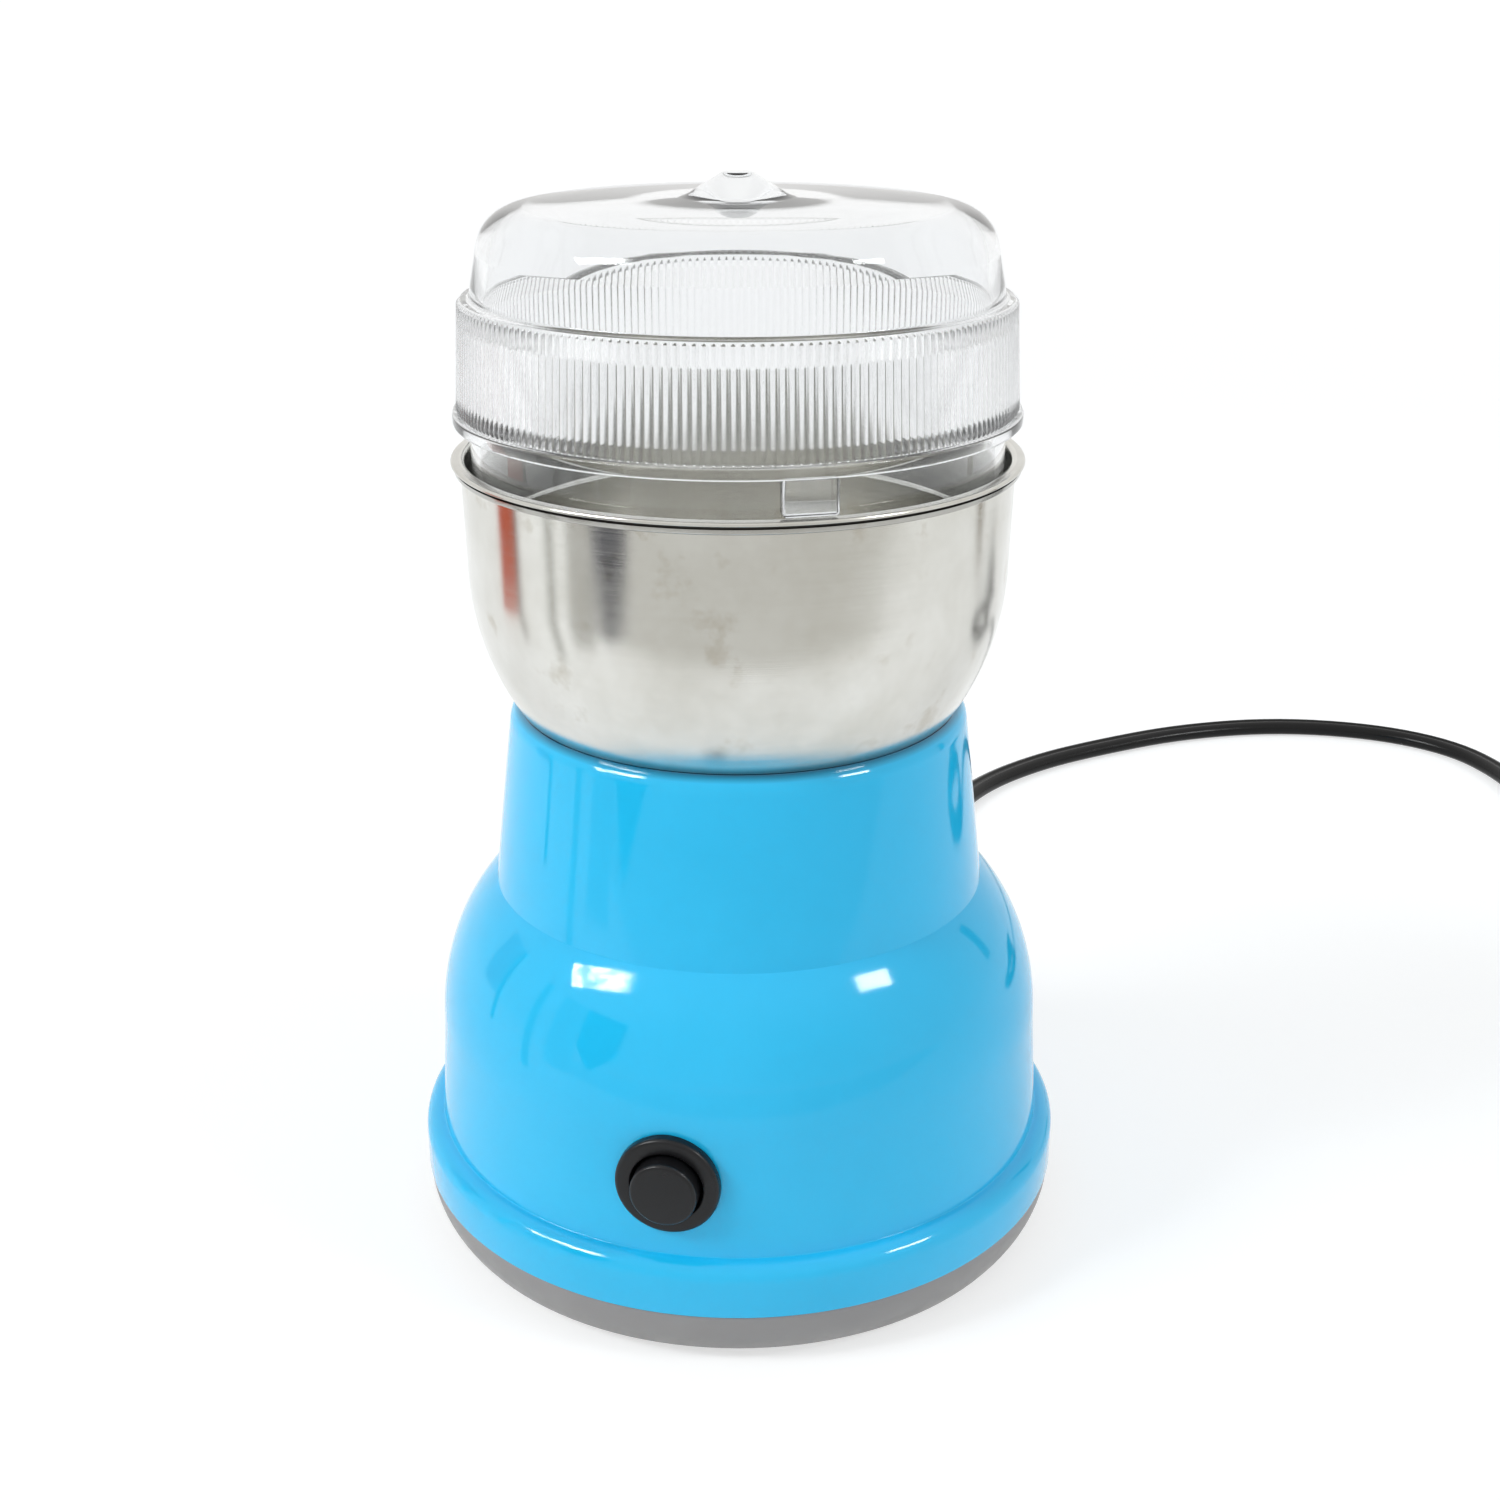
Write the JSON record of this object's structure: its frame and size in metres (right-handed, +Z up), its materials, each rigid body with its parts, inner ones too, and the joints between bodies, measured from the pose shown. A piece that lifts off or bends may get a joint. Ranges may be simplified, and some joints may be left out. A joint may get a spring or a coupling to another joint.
{
  "type": "electric spice grinder",
  "caption": "Upright electric spice grinder: blue housing on a grey base, steel cup with a spinning blade, clear lift-off lid, front push button, mains cord with plug.",
  "frame": {"origin": "on the surface that the feet stand on, under the middle of the housing and the motor's axis", "axes": "+Z up along the motor's axis; the push button faces -Y and the cord leaves at +Y; +X is to the right of someone facing the button"},
  "size_m": [0.2851, 0.3349, 0.1601],
  "materials": {
    "blue_housing": "glossy sky-blue moulded ABS",
    "grey_base": "fine-textured warm grey ABS",
    "clear_lid": "clear polished AS resin",
    "cup_steel": "satin stainless sheet, faint rings round the wall",
    "blade_steel": "ground stainless",
    "plated_steel": "zinc-plated steel",
    "die_cast": "as cast",
    "lamination": "varnished electrical steel",
    "copper_winding": "enamelled copper wire",
    "commutator_copper": "turned copper",
    "bearing_bronze": "oiled sintered bronze",
    "carbon": "carbon",
    "black_plastic": "satin black",
    "white_nylon": "natural nylon",
    "board": "phenolic sheet",
    "capacitor_case": "glossy yellow",
    "rubber_black": "matt",
    "rubber_grey": "matt",
    "brass_plated": "nickel-plated brass",
    "lead_white": "PVC",
    "lead_red": "PVC",
    "cord_black": "glossy flexible PVC"
  },
  "bodies": {
    "base": {"housing": "blue_housing", "base_plate": "grey_base", "rubber_feet": "rubber_grey", "base_screws": "plated_steel", "grinding_cup": "cup_steel", "cup_gasket": "rubber_grey", "cup_bush": "brass_plated", "shaft_seal": "rubber_black", "cup_nut": "plated_steel", "upper_bracket": "die_cast", "lower_bracket": "die_cast", "upper_bearing": "bearing_bronze", "lower_bearing": "bearing_bronze", "stator_core": "lamination", "field_coils": "copper_winding", "coil_bobbins": "white_nylon", "motor_bolts": "plated_steel", "motor_nuts": "plated_steel", "motor_grommets": "rubber_black", "motor_screws": "plated_steel", "brush_plate": "board", "brush_holders": "brass_plated", "carbon_brushes": "carbon", "brush_springs": "plated_steel", "suppression_capacitor": "capacitor_case", "switch_body": "black_plastic", "button_spring": "plated_steel", "switch_nut": "plated_steel", "switch_terminals": "brass_plated", "strain_relief": "rubber_black", "cord_clamp": "white_nylon", "clamp_screws": "plated_steel", "live_lead": "lead_red", "neutral_lead": "lead_white", "switch_lead": "lead_red", "motor_lead": "lead_white", "power_cord": "cord_black", "cord_coil": "cord_black", "coil_tie": "rubber_black", "cord_tail": "cord_black", "plug_body": "cord_black", "plug_pins": "brass_plated", "pin_sleeves": "black_plastic"},
    "rotor": {"rotor_shaft": "blade_steel", "armature_core": "lamination", "armature_winding": "copper_winding", "commutator": "commutator_copper", "cooling_fan": "white_nylon", "blade_collar": "white_nylon", "grinding_blade": "blade_steel", "blade_nut": "plated_steel"},
    "button": {"button_cap": "black_plastic"},
    "lid": {"clear_lid": "clear_lid"}
  },
  "joints": [
    {"name": "lid_lift", "type": "slide", "parent": "base", "child": "lid", "axis": [0, 0, 1], "range_m": [0, 0.06]},
    {"name": "rotor_spin", "type": "hinge", "parent": "base", "child": "rotor", "pos_m": [0, 0, 0.08973], "axis": [0, 0, 1], "continuous": true},
    {"name": "button_press", "type": "slide", "parent": "base", "child": "button", "axis": [0, 1, 0], "range_m": [0, 0.002], "stiffness_N_per_m": 350, "springref_m": -0.003, "deforming": ["button_spring"]}
  ]
}
